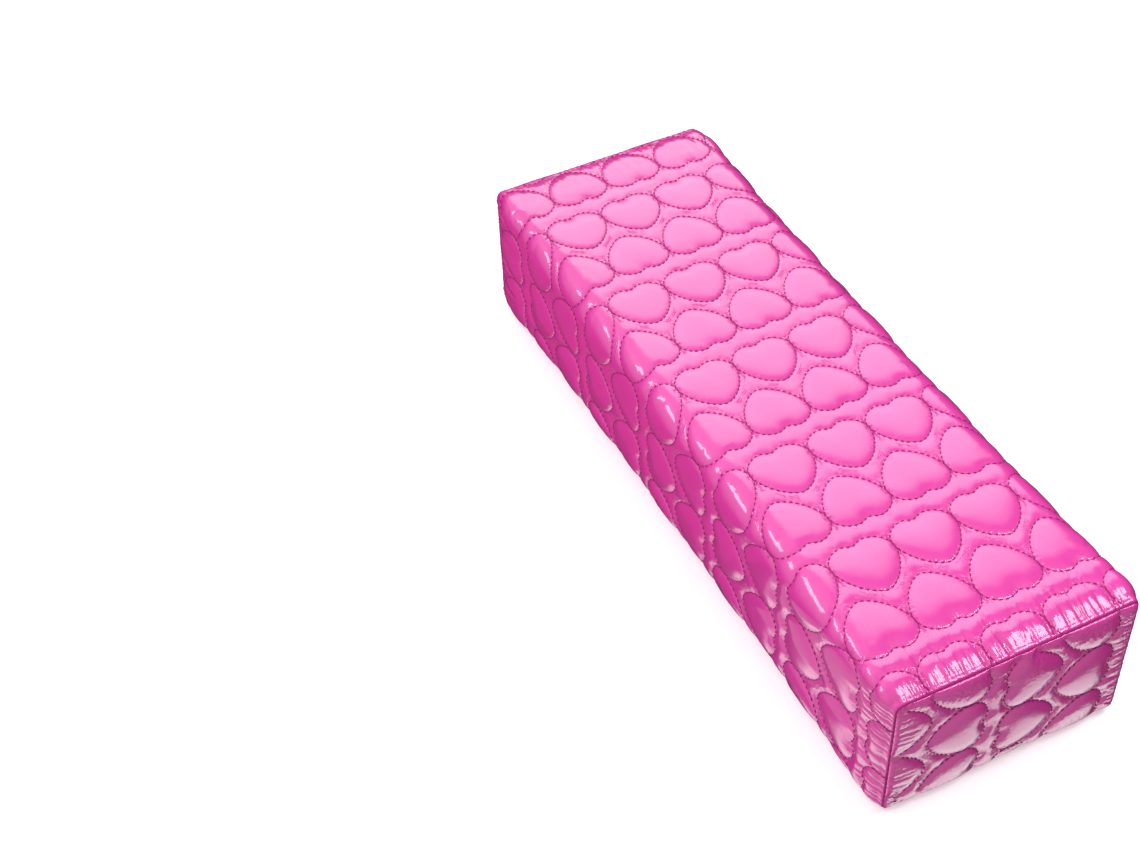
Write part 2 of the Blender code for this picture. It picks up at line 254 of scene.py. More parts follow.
def round_box(wide, tall, radius, s):
    """Points and outward normals round a box with round corners, s from the middle of its top."""
    s = (s + GIRTH / 2) % GIRTH - GIRTH / 2
    sign = np.where(s < 0, -1.0, 1.0)
    run = np.abs(s)
    top, side, arc = wide - radius, 2 * (tall - radius), math.pi / 2 * radius
    first = np.clip((run - top) / radius, 0, math.pi / 2)
    second = np.clip((run - top - arc - side) / radius, 0, math.pi / 2)
    turn = first + second
    ny, nz = np.sin(turn), np.cos(turn)
    y = np.minimum(run, top) - np.maximum(run - top - 2 * arc - side, 0) + radius * ny
    down = np.clip(run - top - arc, 0, side)
    z = tall - radius - down + radius * nz
    return sign * y, z, sign * ny, nz


def roll(share, height):
    """The cloth as it rolls into an end seam: how far past the seam, and how far out from it."""
    rest = 1 - share
    past = rest ** 3 * -ROLL_BACK + 3 * rest ** 2 * share * ROLL_BULGE
    past += 3 * rest * share ** 2 * ROLL_SHOULDER[0] + share ** 3 * ROLL_FOOT[0]
    out = (rest ** 3 + 3 * rest ** 2 * share) * height
    out += 3 * rest * share ** 2 * ROLL_SHOULDER[1] + share ** 3 * ROLL_FOOT[1]
    return past, out


def wrap_points(u, s, lift, lowest=0.0):
    """Cloth points bent round the cushion; past the roll's start the cloth turns into the seam."""
    u, s, lift = (np.asarray(value, float) for value in (u, s, lift))
    start = HALF_LENGTH - ROLL_BACK
    over = np.maximum(np.abs(u) - start, 0.0)
    past, out = roll(np.minimum(over / ROLL_ARC, 1.0), PROUD + lift)
    x = np.where(over > 0, HALF_LENGTH + past, np.abs(u))
    y, z, ny, nz = round_box(*section(np.minimum(np.abs(u), start)), s)
    height = np.maximum(MIDDLE_Z + z + nz * (out - PROUD), lowest)
    return np.stack([np.sign(u) * x, y + ny * (out - PROUD), height], -1)


def heart_curve(angle):
    """A heart's outline: two halves of superellipses, with a notch between the lobes."""
    across, along = np.sin(angle), np.cos(angle)
    lobe = along > 1e-9
    power = np.where(lobe, LOBE_POWER, TIP_POWER)
    reach = np.where(lobe, LOBE_REACH, TIP_REACH)
    u = np.sign(across) * np.abs(across) ** (2 / power) * HEART_WIDTH / 2
    v = np.sign(along) * np.abs(along) ** (2 / power) * reach
    return u, v - np.where(lobe, NOTCH_DEPTH * np.exp(-(u / NOTCH_WIDTH) ** 2), 0.0)


def even_outline(count):
    """Heart outline at even steps from one touching point, with its outward normals."""
    u, v = heart_curve(np.linspace(0, math.tau, FINE_OUTLINE) + math.pi / 2)
    run = np.concatenate([[0], np.cumsum(np.hypot(np.diff(u), np.diff(v)))])
    at = np.linspace(0, run[-1], count + 1)[:-1]
    u, v = np.interp(at, run, u), np.interp(at, run, v)
    du = np.roll(u, -1) - np.roll(u, 1)
    dv = np.roll(v, -1) - np.roll(v, 1)
    size = np.hypot(du, dv)
    nu, nv = dv / size, -du / size
    outward = np.sign(np.sum(nu * u + nv * (v - v.mean())))
    return np.stack([u, v], -1), np.stack([nu, nv], -1) * outward, run[-1]


class Hearts:
    """The chains of hearts over one cloth, and the height of the cloth that they make."""

    def __init__(self, anchor, turn, half, centre, rng):
        cos, sin = math.cos(turn), math.sin(turn)
        self.axes = np.array([[cos, sin], [-sin, cos]])
        margin = np.array([TIP_REACH, HEART_WIDTH]) * 1.2
        origins, ways = [], []
        reach = math.hypot(*half) + PAIR_PITCH
        chains = math.ceil(2 * reach / PAIR_PITCH)
        steps = math.ceil(2 * reach / HEART_WIDTH)
        for chain in range(-chains, chains + 1):
            for forward in (False, True):
                x = chain * PAIR_PITCH + (2 * LOBE_REACH + LOBE_GAP if forward else 0.0)
                for step in range(-steps, steps + 1):
                    y = (step + (0.0 if forward else 0.5)) * HEART_WIDTH
                    origin = np.array(anchor) + np.array([x, y]) @ self.axes
                    if np.all(np.abs(origin - centre) < np.array(half) + margin):
                        origins.append(origin)
                        ways.append(-1 if forward else 1)
        self.origins, self.ways = np.array(origins), np.array(ways)
        self.rises = np.array([rng.uniform(*PUFF_RANGE) for _ in origins])
        fine, _, self.length = even_outline(NEAR_OUTLINE)
        self.tree = kdtree.KDTree(len(origins) * len(fine))
        for i in range(len(origins)):
            for j, (x, y) in enumerate(self.place(i, fine)):
                self.tree.insert((x, y, 0.0), i * len(fine) + j)
        self.tree.balance()
        self.fine = len(fine)
        self.middles = kdtree.KDTree(len(origins))
        for i in range(len(origins)):
            x, y = self.place(i, np.array([[0.0, (LOBE_REACH - TIP_REACH) / 2]]))[0]
            self.middles.insert((x, y, 0.0), i)
        self.middles.balance()

    def place(self, i, local):
        """Heart i's own coordinates (across, towards the lobes) to the cloth's."""
        return self.origins[i] + np.stack([self.ways[i] * local[:, 1], local[:, 0]], -1) @ self.axes

    def inside(self, point):
        """The heart that a point lies in, or -1."""
        for _, i, _ in self.middles.find_n((point[0], point[1], 0.0), 3):
            along, u = self.axes @ (point - self.origins[i])
            v = along * self.ways[i]
            side = min(abs(u) / (HEART_WIDTH / 2), 1.0)
            top = LOBE_REACH * (1 - side ** LOBE_POWER) ** (1 / LOBE_POWER)
            top -= NOTCH_DEPTH * math.exp(-(u / NOTCH_WIDTH) ** 2)
            tip = -TIP_REACH * (1 - side ** TIP_POWER) ** (1 / TIP_POWER)
            if tip < v < top and abs(u) < HEART_WIDTH / 2:
                return i
        return -1

    def survey(self, points):
        """For each point: distance to the stitches, place along them, and the heart it lies in."""
        distance, along, heart = np.empty(len(points)), np.empty(len(points)), np.empty(len(points), int)
        for k, point in enumerate(points):
            _, index, distance[k] = self.tree.find((point[0], point[1], 0.0))
            along[k] = index * self.length / self.fine
            heart[k] = self.inside(point)
        return distance, along, heart

    def loft(self, heart):
        """Height that the padding alone would give the cloth."""
        return np.where(heart >= 0, PUFF * self.rises[heart], CHANNEL)


class Flat:
    """Points of a flat cloth, and the stitch lines between them."""

    def __init__(self, border, keep):
        self.points = [tuple(point) for point in border]
        self.edges = [(i, (i + 1) % len(border)) for i in range(len(border))]
        self.keep = keep
        self.cells = {self.cell(point): i for i, point in enumerate(self.points)}

    @staticmethod
    def cell(point):
        return (round(point[0] / CLOSEST), round(point[1] / CLOSEST))

    def add(self, point):
        key = self.cell(point)
        if key in self.cells:
            return self.cells[key]
        self.cells[key] = len(self.points)
        self.points.append((float(point[0]), float(point[1])))
        return self.cells[key]

    def add_all(self, points):
        """Adds the points that lie on the cloth; the others give -1."""
        ids = np.full(len(points), -1)
        for i in np.nonzero(self.keep(points))[0]:
            ids[i] = self.add(points[i])
        return ids

    def triangles(self):
        out = delaunay_2d_cdt([Vector(point) for point in self.points], self.edges, [], 1, 1e-8)
        return np.array([tuple(point) for point in out[0]]), out[2]


def lay_out(flat, hearts, half, centre):
    """Fills a flat cloth with points along and beside its stitches, and in between."""
    outline, normals, _ = even_outline(OUTLINE_POINTS)
    for i in range(len(hearts.origins)):
        ids = flat.add_all(hearts.place(i, outline))
        for one, two in zip(ids, np.roll(ids, -1)):
            if one >= 0 and two >= 0 and one != two:
                flat.edges.append((int(one), int(two)))
    for i in range(len(hearts.origins)):
        for away, every in INNER_RINGS:
            flat.add_all(hearts.place(i, outline[::every] - normals[::every] * away))
        middle = np.array([0.0, (LOBE_REACH - TIP_REACH) / 2])
        flat.add_all(hearts.place(i, middle + (outline[::CORE_EVERY] - middle) * CORE_SHARE))
        flat.add_all(hearts.place(i, middle[None]))
        for away, every in OUTER_RINGS:
            ring = hearts.place(i, outline[::every] + normals[::every] * away)
            flat.add_all(np.array([p for p in ring if hearts.tree.find((*p, 0.0))[2] > away * 0.9]))
    steps = [np.arange(c - h, c + h, CHANNEL_GRID) for c, h in zip(centre, half)]
    grid = np.stack(np.meshgrid(*steps), -1).reshape(-1, 2)
    distance = np.array([hearts.tree.find((*p, 0.0))[2] for p in grid])
    clear = [p for p, d in zip(grid, distance) if d > OUTER_RINGS[-1][0] * 1.5 and hearts.inside(p) < 0]
    flat.add_all(np.array(clear))


def inflate(points, faces, held, loft):
    """Heights of a stretched cloth over springy padding, held down at its stitches."""
    faces = np.array(faces)
    corners = points[faces]
    weights, ones, twos = [], [], []
    area = np.zeros(len(points))
    for k in range(3):
        a = corners[:, (k + 1) % 3] - corners[:, k]
        b = corners[:, (k + 2) % 3] - corners[:, k]
        cross = np.abs(a[:, 0] * b[:, 1] - a[:, 1] * b[:, 0]) + 1e-14
        weights.append(np.clip((a * b).sum(1) / cross / 2, SLACKEST, STIFFEST))
        ones.append(faces[:, (k + 1) % 3])
        twos.append(faces[:, (k + 2) % 3])
        area += np.bincount(faces[:, k], cross / 6, len(points))
    weights, ones, twos = np.concatenate(weights), np.concatenate(ones), np.concatenate(twos)
    spring = area / STRETCH ** 2
    free = ~held
    own = np.bincount(ones, weights, len(points)) + np.bincount(twos, weights, len(points)) + spring

    def apply(h):
        pulled = np.bincount(ones, weights * h[twos], len(points))
        pulled += np.bincount(twos, weights * h[ones], len(points))
        return (own * h - pulled) * free

    height = np.zeros(len(points))
    left = spring * loft * free
    guess = left / own
    way, size = guess.copy(), left @ guess
    for _ in range(SOLVER_STEPS):
        pushed = apply(way)
        step = size / (way @ pushed)
        height += step * way
        left -= step * pushed
        guess = left / own
        new = left @ guess
        if new < SOLVED:
            break
        way = guess + new / size * way
        size = new
    return height


class Pleats:
    """Creases that run into a seam of a given length round."""

    def __init__(self, around, rng, level=1.0, upright=1.0):
        """level and upright are the shares along the level and the upright stretches of the seam."""
        count = int(around / PLEAT_PITCH)
        self.around = around
        self.at = np.array([(i + rng.uniform(-0.5, 0.5)) * around / count for i in range(count)])
        _, _, ny, _ = round_box(*END_SECTION, self.at)
        share = level + (upright - level) * np.abs(ny)
        deeper = np.array([rng.random() ** 2 for _ in range(count)])
        self.depth = (PLEAT_DEPTH[0] + (PLEAT_DEPTH[1] - PLEAT_DEPTH[0]) * deeper) * share
        self.width = np.array([rng.uniform(*PLEAT_WIDTH) for _ in range(count)])
        self.length = np.array([rng.uniform(*PLEAT_LENGTH) for _ in range(count)]) * share
        self.slant = np.array([rng.uniform(-PLEAT_SLANT, PLEAT_SLANT) for _ in range(count)])

    def depth_at(self, s, away):
        """Depth of the creases at points s round the seam and away from it."""
        total = np.zeros(len(s))
        near = np.nonzero(away < PLEAT_END * self.length.max())[0]
        s, away = s[near, None], away[near, None]
        off = s - self.at - self.slant * away
        off = (off + self.around / 2) % self.around - self.around / 2
        wide = self.width * (1 + away / self.length)
        creases = self.depth * np.exp(-(off / wide) ** 2 - (away / self.length) ** 2)
        total[near] = creases.sum(1)
        return total


def mesh_piece(name, points, faces, material, attributes=None, uv=None):
    """A smooth mesh object, with values and stitch coordinates for each of its points."""
    mesh = bpy.data.meshes.new(name)
    mesh.from_pydata(points, [], faces)
    mesh.update()
    mesh.materials.append(material)
    mesh.shade_smooth()
    for key, values in (attributes or {}).items():
        mesh.attributes.new(key, "FLOAT", "POINT").data.foreach_set("value", np.asarray(values, np.float32))
    if uv is not None:
        corners = np.empty(len(mesh.loops), np.int32)
        mesh.loops.foreach_get("vertex_index", corners)
        layer = mesh.uv_layers.new(name="stitches")
        layer.data.foreach_set("uv", np.asarray(uv, np.float32)[corners].ravel())
    obj = bpy.data.objects.new(name, mesh)
    bpy.context.scene.collection.objects.link(obj)
    return obj


def bands(rings):
    """Quads between consecutive rings of vertex numbers."""
    faces = []
    for one, two in zip(rings, rings[1:]):
        for i in range(len(one)):
            j = (i + 1) % len(one)
            faces.append((one[i], one[j], two[j], two[i]))
    return faces


def weld(obj, distance=WELD):
    """Joins points in the same place, such as the closing seam's, and turns every face outward."""
    bm = bmesh.new()
    bm.from_mesh(obj.data)
    bmesh.ops.remove_doubles(bm, verts=bm.verts, dist=distance)
    bmesh.ops.recalc_face_normals(bm, faces=bm.faces)
    bm.to_mesh(obj.data)
    bm.free()
    return obj


def roll_band(away):
    """Rise of the cloth beside a seam, where it rolls over before it turns in."""
    return BAND_RISE * (1 - np.exp(-(away / BAND_RUN) ** 2)) * np.exp(-away / BAND_FADE)


class Cloth:
    """A quilted cloth: what lies at any of its points, and how high it stands there."""

    def learn(self, points, raised):
        """Keeps the inflated heights along the border, for the roll beyond it."""
        self.raised = raised
        self.known = kdtree.KDTree(len(points))
        for i, (x, y) in enumerate(points):
            self.known.insert((x, y, 0.0), i)
        self.known.balance()

    def recall(self, points):
        """The inflated heights at the nearest points of the border."""
        return np.array([self.raised[self.known.find((x, y, 0.0))[1]] for x, y in points])

    def lift(self, raised, info):
        """Height of the cloth above its stitch level, with its bulge, pleats and closing seam."""
        lift = raised + self.band * roll_band(info["away"]) - info["crease"]
        lift -= GROOVE * np.exp(-(info["closing"] / GROOVE_WIDTH) ** 2)
        return np.maximum(lift, -LOWEST)


class WrapCloth(Cloth):
    """The cloth of the wrap: along the cushion and round it."""

    band = 1.0

    def __init__(self):
        rng = random.Random(SEED)
        self.half = (HALF_LENGTH, GIRTH / 2)
        self.centre = (0.0, CLOSING_SEAM - GIRTH / 2)
        self.hearts = Hearts(WRAP_ANCHOR, WRAP_TURN, self.half, self.centre, rng)
        self.pleats = {end: Pleats(GIRTH, rng, *WRAP_PLEATS) for end in (-1, 1)}

    def survey(self, u, s):
        """Facts of the cloth at points along the cushion and round it."""
        distance, along, heart = self.hearts.survey(np.stack([u, s], -1))
        away = HALF_LENGTH - ROLL_BACK + ROLL_ARC - np.abs(u)
        near, far = self.pleats[1].depth_at(s, away), self.pleats[-1].depth_at(s, away)
        _, _, ny, _ = round_box(*END_SECTION, s)
        return {
            "loft": self.hearts.loft(heart) * (LEVEL_LOFT + (1 - LEVEL_LOFT) * np.abs(ny)),
            "along": along,
            "distance": distance,
            "closing": np.minimum(np.abs(s - CLOSING_SEAM), np.abs(s - CLOSING_SEAM + GIRTH)),
            "away": away,
            "crease": np.where(u > 0, near, far),
        }


def stitched(survey):
    """Whether points lie on a stitch line or on the closing seam."""
    return (survey["distance"] < HELD) | (survey["closing"] < HELD)


def attributes_of(survey):
    """What the leather and the cloth simulation read from the points."""
    return {
        "seam": np.exp(-survey["away"] / SEAM_REACH),
        "pleat": survey["crease"] / PLEAT_DEPTH[1],
        "held": stitched(survey) | (survey["away"] < HELD_AT_SEAM),
    }


def make_cover(name, solid, survey, faces, material):
    """The mesh of a cover, whose points know how they lie to the stitches and seams."""
    merged = {key: np.concatenate([part[key] for part in survey]) for key in survey[0]}
    uv = np.stack([merged["along"], merged["distance"]], -1)
    return weld(mesh_piece(name, solid, faces, material, attributes_of(merged), uv))


def make_wrap(cloth, material):
    """The wrap, bent round the cushion, rolled into both end seams and closed by its lining."""
    start = HALF_LENGTH - ROLL_BACK
    count = round(GIRTH / BORDER_STEP)
    around = np.linspace(CLOSING_SEAM - GIRTH, CLOSING_SEAM, count + 1)
    side = np.linspace(-start, start, round(2 * start / PLEAT_GRID[0]) + 1)[1:-1]
    border = [(-start, s) for s in around] + [(x, around[-1]) for x in side]
    border += [(start, s) for s in around[::-1]] + [(x, around[0]) for x in side[::-1]]

    def keep(points):
        inside = np.abs(points[:, 0]) < start - BORDER_CLEARANCE
        return inside & (np.abs(points[:, 1] - cloth.centre[1]) < GIRTH / 2 - BORDER_CLEARANCE)

    flat = Flat(border, keep)
    lay_out(flat, cloth.hearts, cloth.half, cloth.centre)
    for end in (-1, 1):
        rows = end * np.arange(start - PLEAT_GRID[0] / 2, start - PLEAT_ZONE, -PLEAT_GRID[0])
        flat.add_all(np.stack(np.meshgrid(rows, around[:-1] + PLEAT_GRID[1] / 2), -1).reshape(-1, 2))
    points, faces = flat.triangles()
    info = cloth.survey(points[:, 0], points[:, 1])
    held = stitched(info) | (np.abs(points[:, 0]) > start - HELD)
    raised = inflate(points, faces, held, info["loft"])
    cloth.learn(points, raised)
    info["lift"] = cloth.lift(raised, info)
    solid = [wrap_points(points[:, 0], points[:, 1], info["lift"])]
    survey = [info]
    total = len(points)
    ring_s = around[:-1]
    inner = []
    for end in (-1, 1):
        rings = []
        edge = cloth.recall([(end * start, s) for s in ring_s])
        for step in range(ROLL_STEPS + 1):
            u = np.full(len(ring_s), end * (start + ROLL_ARC * step / ROLL_STEPS))
            info = cloth.survey(u, ring_s)
            info["lift"] = cloth.lift(edge, info)
            solid.append(wrap_points(u, ring_s, info["lift"]))
            survey.append(info)
            rings.append(range(total, total + len(ring_s)))
            total += len(ring_s)
        for back, out in ((TURNED_IN, -TURNED_IN), (TURNED_IN + CLOTH, PROUD - CLOTH)):
            y, z, ny, nz = round_box(*END_SECTION, ring_s)
            x = np.full(len(ring_s), end * (HALF_LENGTH - back))
            solid.append(np.stack([x, y + ny * (out - PROUD), MIDDLE_Z + z + nz * (out - PROUD)], -1))
            survey.append(info)
            rings.append(range(total, total + len(ring_s)))
            total += len(ring_s)
        faces = list(faces) + bands(rings)
        inner.append(rings[-1])
    for u in np.linspace(-start, start, LINING_RINGS)[1:-1]:
        solid.append(wrap_points(np.full(len(ring_s), u), ring_s, np.full(len(ring_s), -CLOTH), CLOTH))
        survey.append(info)
        inner.insert(-1, range(total, total + len(ring_s)))
        total += len(ring_s)
    faces += bands(inner)
    return make_cover("quilted_wrap", np.concatenate(solid), survey, faces, material)


def simulate(covers):
    """Lets Blender's Cloth wrinkle the covers between their stitches, most beside the end seams."""
    bm = bmesh.new()
    for piece in covers:
        bm.from_mesh(piece.data)
    mesh = bpy.data.meshes.new("simulated")
    bm.to_mesh(mesh)
    bm.free()
    held = np.empty(len(mesh.vertices), np.float32)
    mesh.attributes["held"].data.foreach_get("value", held)
    points = np.empty(len(mesh.vertices) * 3, np.float32)
    mesh.vertices.foreach_get("co", points)
    start = points.reshape(-1, 3).copy()
    mesh.vertices.foreach_set("co", points * CLOTH_SCALE)
    body = bpy.data.objects.new("simulated", mesh)
    bpy.context.scene.collection.objects.link(body)
    body.vertex_groups.new(name="held").add(np.nonzero(held > 0.5)[0].tolist(), 1.0, "REPLACE")
    cloth = body.modifiers.new("cloth", "CLOTH")
    cloth.settings.quality = CLOTH_QUALITY
    cloth.settings.vertex_group_mass = "held"
    cloth.settings.tension_stiffness = cloth.settings.compression_stiffness = CLOTH_STIFFNESS
    cloth.settings.bending_stiffness = CLOTH_BENDING
    cloth.settings.use_pressure = True
    cloth.settings.uniform_pressure_force = CLOTH_PRESSURE
    cloth.settings.shrink_min = -CLOTH_SLACK
    cloth.settings.effector_weights.gravity = 0.0
    cloth.collision_settings.use_collision = False
    cloth.collision_settings.use_self_collision = False
    cloth.point_cache.frame_end = CLOTH_FRAMES
    for moment in range(1, CLOTH_FRAMES + 1):
        bpy.context.scene.frame_set(moment)
        body.evaluated_get(bpy.context.evaluated_depsgraph_get()).data.vertices.foreach_get("co", points)
    bpy.data.objects.remove(body)
    bpy.data.meshes.remove(mesh)
    bpy.context.scene.frame_set(1)
    near_seam = np.exp((np.abs(start[:, 0]) - HALF_LENGTH) / WRINKLE_RUN)
    kept = WRINKLES_LEFT + (1.0 - WRINKLES_LEFT) * np.minimum(near_seam, 1.0)
    rest = start + (points.reshape(-1, 3) / CLOTH_SCALE - start) * kept[:, None]
    rest[:, 2] = np.maximum(rest[:, 2], 0.0)
    first = 0
    for piece in covers:
        count = len(piece.data.vertices)
        piece.data.vertices.foreach_set("co", rest[first:first + count].ravel())
        piece.data.attributes.remove(piece.data.attributes["held"])
        piece.data.update()
        first += count


def end_outline(inset, s):
    """Outline of an end panel, inset from its seam, with its outward normals."""
    y, z, ny, nz = round_box(*END_SECTION, s)
    return np.stack([y - ny * (PROUD + inset), z - nz * (PROUD + inset)], -1), np.stack([ny, nz], -1)


def on_panel(points, margin):
    """Whether points lie on the flat part of an end panel, at least a margin inside its rim."""
    corner = np.array([HALF_WIDTH, HALF_HEIGHT]) - PANEL_CORNER
    over = np.maximum(np.abs(points) - corner, 0.0)
    return np.hypot(over[:, 0], over[:, 1]) < PANEL_CORNER - ROLL_BACK - margin


class EndCloth(Cloth):
    """The cloth of an end panel: across the end and up it."""

    band = END_BAND_SHARE

    def __init__(self, seed):
        rng = random.Random(seed)
        self.half = (HALF_WIDTH, HALF_HEIGHT)
        anchor = (END_ANCHOR[0], HALF_HEIGHT + END_ANCHOR[1])
        self.hearts = Hearts(anchor, 0.0, self.half, (0.0, 0.0), rng)
        self.pleats = Pleats(GIRTH, rng, *END_PLEATS)
        self.around = np.linspace(-GIRTH / 2, GIRTH / 2, RIM_POINTS + 1)[:-1]
        rim, _ = end_outline(ROLL_BACK, self.around)
        self.tree = kdtree.KDTree(len(rim))
        for i, (y, z) in enumerate(rim):
            self.tree.insert((y, z, 0.0), i)
        self.tree.balance()

    def survey(self, points, beyond=0.0):
        """Facts of the cloth at points; beyond says how far past the rim the roll has carried it."""
        distance, along, heart = self.hearts.survey(points)
        found = [self.tree.find((y, z, 0.0)) for y, z in points]
        s = self.around[[index for _, index, _ in found]]
        away = np.array([gap for _, _, gap in found]) + ROLL_ARC - beyond
        return {
            "loft": self.hearts.loft(heart),
            "along": along,
            "distance": distance,
            "closing": np.ones(len(points)),
            "away": away,
            "crease": self.pleats.depth_at(s, away),
        }

    def points(self, flat, lift):
        """Cloth points in the near end's place."""
        y, z = flat[:, 0] / (HALF_WIDTH - ROLL_BACK), flat[:, 1] / (HALF_HEIGHT - ROLL_BACK)
        dome = END_DOME * np.clip(1 - y * y, 0, 1) * np.clip(1 - z * z, 0, 1)
        return np.stack([HALF_LENGTH + PROUD + lift + dome, flat[:, 0], MIDDLE_Z + flat[:, 1]], -1)


def make_end(name, cloth, end, material):
    """An end panel, domed, rolled into its seam and closed by its lining."""
    count = round(GIRTH / BORDER_STEP / END_BORDER_SHARE)
    around = np.linspace(-GIRTH / 2, GIRTH / 2, count + 1)[:-1]
    border, normals = end_outline(ROLL_BACK, around)
    flat = Flat(border, lambda points: on_panel(points, BORDER_CLEARANCE))
    lay_out(flat, cloth.hearts, cloth.half, (0.0, 0.0))
    for inset in np.arange(ROLL_BACK + PLEAT_GRID[0] / 2, ROLL_BACK + PLEAT_ZONE * 0.5, PLEAT_GRID[0]):
        flat.add_all(end_outline(inset, around + PLEAT_GRID[1] / 2)[0])
    points, faces = flat.triangles()
    info = cloth.survey(points)
    raised = inflate(points, faces, info["distance"] < HELD, info["loft"])
    cloth.learn(points, raised)
    info["lift"] = cloth.lift(raised, info)
    solid, survey, total, rings = [cloth.points(points, info["lift"])], [info], len(points), []
    edge = cloth.recall(border)
    for step in range(ROLL_STEPS + 1):
        share = step / ROLL_STEPS
        info = cloth.survey(border, ROLL_ARC * share)
        info["lift"] = cloth.lift(edge, info)
        past, out = roll(share, PROUD + info["lift"])
        ring = border + normals * (past + ROLL_BACK)
        solid.append(np.stack([HALF_LENGTH + out, ring[:, 0], MIDDLE_Z + ring[:, 1]], -1))
        survey.append(info)
        rings.append(range(total, total + count))
        total += count
    for x, inset in ((-TURNED_IN, TURNED_IN), (PROUD - CLOTH, TURNED_IN + CLOTH / 2)):
        ring, _ = end_outline(inset, around)
        solid.append(np.stack([np.full(count, HALF_LENGTH + x), ring[:, 0], MIDDLE_Z + ring[:, 1]], -1))
        survey.append(info)
        rings.append(range(total, total + count))
        total += count
    faces = list(faces) + bands(rings) + [tuple(rings[-1])]
    turned = np.concatenate(solid) * np.array([end, end, 1.0])
    return make_cover(name, turned, survey, faces, material)


def stitch_mesh(name, centres, ups, material):
    """One arched stitch for each row of three points, with its up direction; none goes below the floor."""
    ring = np.linspace(0, math.tau, STITCH_SIDES + 1)[:-1]
    forwards = centres[:, 2] - centres[:, 0]
    forwards /= np.linalg.norm(forwards, axis=-1, keepdims=True)
    sides = np.cross(forwards, ups)
    sides /= np.linalg.norm(sides, axis=-1, keepdims=True)
    ups = np.cross(sides, forwards)
    lowest = np.minimum(centres[..., 2].min(1) - STITCH_RADIUS, 0.0)
    centres = centres - lowest[:, None, None] * np.array([0.0, 0.0, 1.0])
    verts, faces = [], []
    for k in range(len(centres)):
        base = len(verts)
        for j in range(3):
            for angle in ring:
                off = ups[k] * math.cos(angle) + sides[k] * math.sin(angle)
                verts.append(centres[k, j] + off * STITCH_RADIUS)
        verts.append(centres[k, 0] - forwards[k] * STITCH_RADIUS)
        verts.append(centres[k, 2] + forwards[k] * STITCH_RADIUS)
        for i in range(STITCH_SIDES):
            j = (i + 1) % STITCH_SIDES
            for row in (base, base + STITCH_SIDES):
                faces.append((row + i, row + j, row + STITCH_SIDES + j, row + STITCH_SIDES + i))
            last = base + 2 * STITCH_SIDES
            faces.append((base + j, base + i, last + STITCH_SIDES))
            faces.append((last + i, last + j, last + STITCH_SIDES + 1))
    return weld(mesh_piece(name, np.array(verts), faces, material), THREAD_WELD)


def seam_thread(name, end, material):
    """The thread that closes an end seam, in the valley between the two rolls."""
    around = np.linspace(-GIRTH / 2, GIRTH / 2, SEAM_POINTS + 1)[:-1]
    y, z, ny, nz = round_box(*END_SECTION, around)
    wobble = 1 + SEAM_TIGHTNESS * np.cos(around / SEAM_STITCH * math.tau)
    rings = []
    for angle in np.linspace(0, math.tau, SEAM_SIDES + 1)[:-1]:
        out = SEAM_LINE + THREAD_RADIUS * wobble * math.cos(angle)
        past = SEAM_LINE + THREAD_RADIUS * wobble * math.sin(angle)
        x = end * (HALF_LENGTH + past)
        rings.append(np.stack([x, y + ny * (out - PROUD), MIDDLE_Z + z + nz * (out - PROUD)], -1))
    points = np.stack(rings, 1).reshape(-1, 3)
    faces = []
    for i in range(SEAM_POINTS):
        one, two = i * SEAM_SIDES, (i + 1) % SEAM_POINTS * SEAM_SIDES
        for j in range(SEAM_SIDES):
            following = (j + 1) % SEAM_SIDES
            faces.append((one + j, one + following, two + following, two + j))
    return weld(mesh_piece(name, points, faces, material), THREAD_WELD)


def stitch_places(hearts, keep):
    """Start, middle and end of each stitch on the flat cloth, for the hearts that lie on it."""
    fine, _, length = even_outline(STITCH_OUTLINE)
    count = round(length / STITCH_PITCH)
    rows = []
    for i in range(len(hearts.origins)):
        for k in range(count):
            at = (k + 0.5) / count * len(fine)
            span = STITCH_LENGTH / length * len(fine) / 2
            local = fine[[round(at + way * span) % len(fine) for way in (-1, 0, 1)]]
            rows.append(hearts.place(i, local))
    rows = np.array(rows)
    return rows[keep(rows[:, 1])]


def make_wrap_stitches(cloth, material):
    """Every stitch of the wrap's hearts that isn't pressed flat on the floor."""
    reach = HALF_LENGTH - ROLL_BACK + ROLL_ARC * LAST_STITCH

    def keep(points):
        inside = np.abs(points[:, 0]) < reach
        return inside & (np.abs(points[:, 1] - cloth.centre[1]) < GIRTH / 2 - STITCH_LENGTH)

    rows = stitch_places(cloth.hearts, keep)
    u, s = rows[..., 0].ravel(), rows[..., 1].ravel()
    lift = cloth.lift(0.0, cloth.survey(u, s))
    arch = np.tile([-STITCH_SINK, STITCH_ARCH, -STITCH_SINK], len(rows))
    centres = wrap_points(u, s, lift + arch).reshape(-1, 3, 3)
    above = wrap_points(u, s, lift + CLEAR_RISE).reshape(-1, 3, 3)
    sunk = wrap_points(u, s, lift).reshape(-1, 3, 3)
    ups = above[:, 1] - sunk[:, 1]
    standing = np.linalg.norm(ups, axis=-1) > CLEAR_RISE / 100
    return stitch_mesh("quilting_thread_wrap", centres[standing], ups[standing], material)


def make_end_stitches(name, cloth, end, material):
    """Every stitch of an end panel's hearts."""
    rows = stitch_places(cloth.hearts, lambda points: on_panel(points, STITCH_LENGTH / 3))
    flat = rows.reshape(-1, 2)
    lift = cloth.lift(0.0, cloth.survey(flat))
    arch = np.tile([-STITCH_SINK, STITCH_ARCH, -STITCH_SINK], len(rows))
    centres = (cloth.points(flat, lift + arch) * np.array([end, end, 1.0])).reshape(-1, 3, 3)
    ups = np.tile([float(end), 0.0, 0.0], (len(rows), 1))
    return stitch_mesh(name, centres, ups, material)


